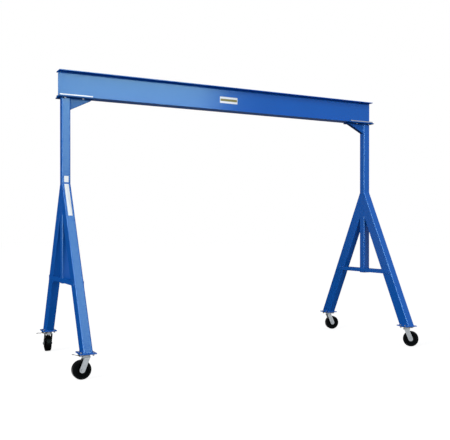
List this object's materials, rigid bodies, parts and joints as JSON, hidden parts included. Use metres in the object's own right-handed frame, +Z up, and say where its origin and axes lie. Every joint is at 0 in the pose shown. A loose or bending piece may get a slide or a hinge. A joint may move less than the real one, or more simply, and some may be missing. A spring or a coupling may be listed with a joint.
{
  "type": "portable gantry crane",
  "caption": "Portable steel gantry crane: a wide-flange runway beam on two A-shaped end frames that roll on locking swivel casters.",
  "frame": {"origin": "on the floor under the middle of the runway beam", "axes": "+X along the runway beam, +Y across it towards the rear, +Z up"},
  "size_m": [4.7123, 2.0629, 3.429],
  "materials": {
    "blue_paint": "glossy sprayed enamel",
    "zinc_plate": "bright zinc plating",
    "wheel_iron": "black painted casting",
    "tyre_rubber": "moulded black rubber"
  },
  "bodies": {
    "crane_frame": {"runway_beam": "blue_paint", "left_cap_plate": "blue_paint", "left_gusset": "blue_paint", "left_post": "blue_paint", "left_post_end_cap": "blue_paint", "left_cross_tie": "blue_paint", "left_outer_tie": "blue_paint", "left_front_clamp_bar": "zinc_plate", "left_rear_clamp_bar": "zinc_plate", "right_cap_plate": "blue_paint", "right_gusset": "blue_paint", "right_post": "blue_paint", "right_post_end_cap": "blue_paint", "right_cross_tie": "blue_paint", "right_outer_tie": "blue_paint", "right_front_clamp_bar": "zinc_plate", "right_rear_clamp_bar": "zinc_plate", "front_left_leg": "blue_paint", "front_left_foot_plate": "blue_paint", "front_left_caster_plate": "zinc_plate", "rear_left_leg": "blue_paint", "rear_left_foot_plate": "blue_paint", "rear_left_caster_plate": "zinc_plate", "front_right_leg": "blue_paint", "front_right_foot_plate": "blue_paint", "front_right_caster_plate": "zinc_plate", "rear_right_leg": "blue_paint", "rear_right_foot_plate": "blue_paint", "rear_right_caster_plate": "zinc_plate"},
    "front_left_swivel": {"front_left_caster_yoke": "zinc_plate", "front_left_caster_axle": "zinc_plate"},
    "front_left_wheel": {"front_left_wheel_core": "wheel_iron", "front_left_tyre": "tyre_rubber"},
    "front_left_lever": {"front_left_lock_lever": "zinc_plate"},
    "rear_left_swivel": {"rear_left_caster_yoke": "zinc_plate", "rear_left_caster_axle": "zinc_plate"},
    "rear_left_wheel": {"rear_left_wheel_core": "wheel_iron", "rear_left_tyre": "tyre_rubber"},
    "rear_left_lever": {"rear_left_lock_lever": "zinc_plate"},
    "front_right_swivel": {"front_right_caster_yoke": "zinc_plate", "front_right_caster_axle": "zinc_plate"},
    "front_right_wheel": {"front_right_wheel_core": "wheel_iron", "front_right_tyre": "tyre_rubber"},
    "front_right_lever": {"front_right_lock_lever": "zinc_plate"},
    "rear_right_swivel": {"rear_right_caster_yoke": "zinc_plate", "rear_right_caster_axle": "zinc_plate"},
    "rear_right_wheel": {"rear_right_wheel_core": "wheel_iron", "rear_right_tyre": "tyre_rubber"},
    "rear_right_lever": {"rear_right_lock_lever": "zinc_plate"}
  },
  "joints": [
    {"name": "front_left_swivel_turn", "type": "hinge", "parent": "crane_frame", "child": "front_left_swivel", "pos_m": [-2.202, -0.89268, 0.2492], "axis": [0, 0, 1], "continuous": true},
    {"name": "front_left_wheel_roll", "type": "hinge", "parent": "front_left_swivel", "child": "front_left_wheel", "pos_m": [-2.254, -0.89268, 0.1016], "axis": [0, -1, 0], "continuous": true},
    {"name": "front_left_lock_lever_press", "type": "hinge", "parent": "crane_frame", "child": "front_left_lever", "pos_m": [-2.2715, -0.89268, 0.246], "axis": [0, -1, 0], "range_deg": [0, 16]},
    {"name": "rear_left_swivel_turn", "type": "hinge", "parent": "crane_frame", "child": "rear_left_swivel", "pos_m": [-2.202, 0.89268, 0.2492], "axis": [0, 0, 1], "continuous": true},
    {"name": "rear_left_wheel_roll", "type": "hinge", "parent": "rear_left_swivel", "child": "rear_left_wheel", "pos_m": [-2.202, 0.94468, 0.1016], "axis": [-1, 0, 0], "continuous": true},
    {"name": "rear_left_lock_lever_press", "type": "hinge", "parent": "crane_frame", "child": "rear_left_lever", "pos_m": [-2.2715, 0.89268, 0.246], "axis": [0, -1, 0], "range_deg": [-16, 0]},
    {"name": "front_right_swivel_turn", "type": "hinge", "parent": "crane_frame", "child": "front_right_swivel", "pos_m": [2.202, -0.89268, 0.2492], "axis": [0, 0, 1], "continuous": true},
    {"name": "front_right_wheel_roll", "type": "hinge", "parent": "front_right_swivel", "child": "front_right_wheel", "pos_m": [2.24064, -0.92747, 0.1016], "axis": [0.6691, 0.7431, 0], "continuous": true},
    {"name": "front_right_lock_lever_press", "type": "hinge", "parent": "crane_frame", "child": "front_right_lever", "pos_m": [2.2715, -0.89268, 0.246], "axis": [0, 1, 0], "range_deg": [0, 16]},
    {"name": "rear_right_swivel_turn", "type": "hinge", "parent": "crane_frame", "child": "rear_right_swivel", "pos_m": [2.202, 0.89268, 0.2492], "axis": [0, 0, 1], "continuous": true},
    {"name": "rear_right_wheel_roll", "type": "hinge", "parent": "rear_right_swivel", "child": "rear_right_wheel", "pos_m": [2.25173, 0.87747, 0.1016], "axis": [0.2924, 0.9563, 0], "continuous": true},
    {"name": "rear_right_lock_lever_press", "type": "hinge", "parent": "crane_frame", "child": "rear_right_lever", "pos_m": [2.2715, 0.89268, 0.246], "axis": [0, 1, 0], "range_deg": [0, 16]}
  ]
}
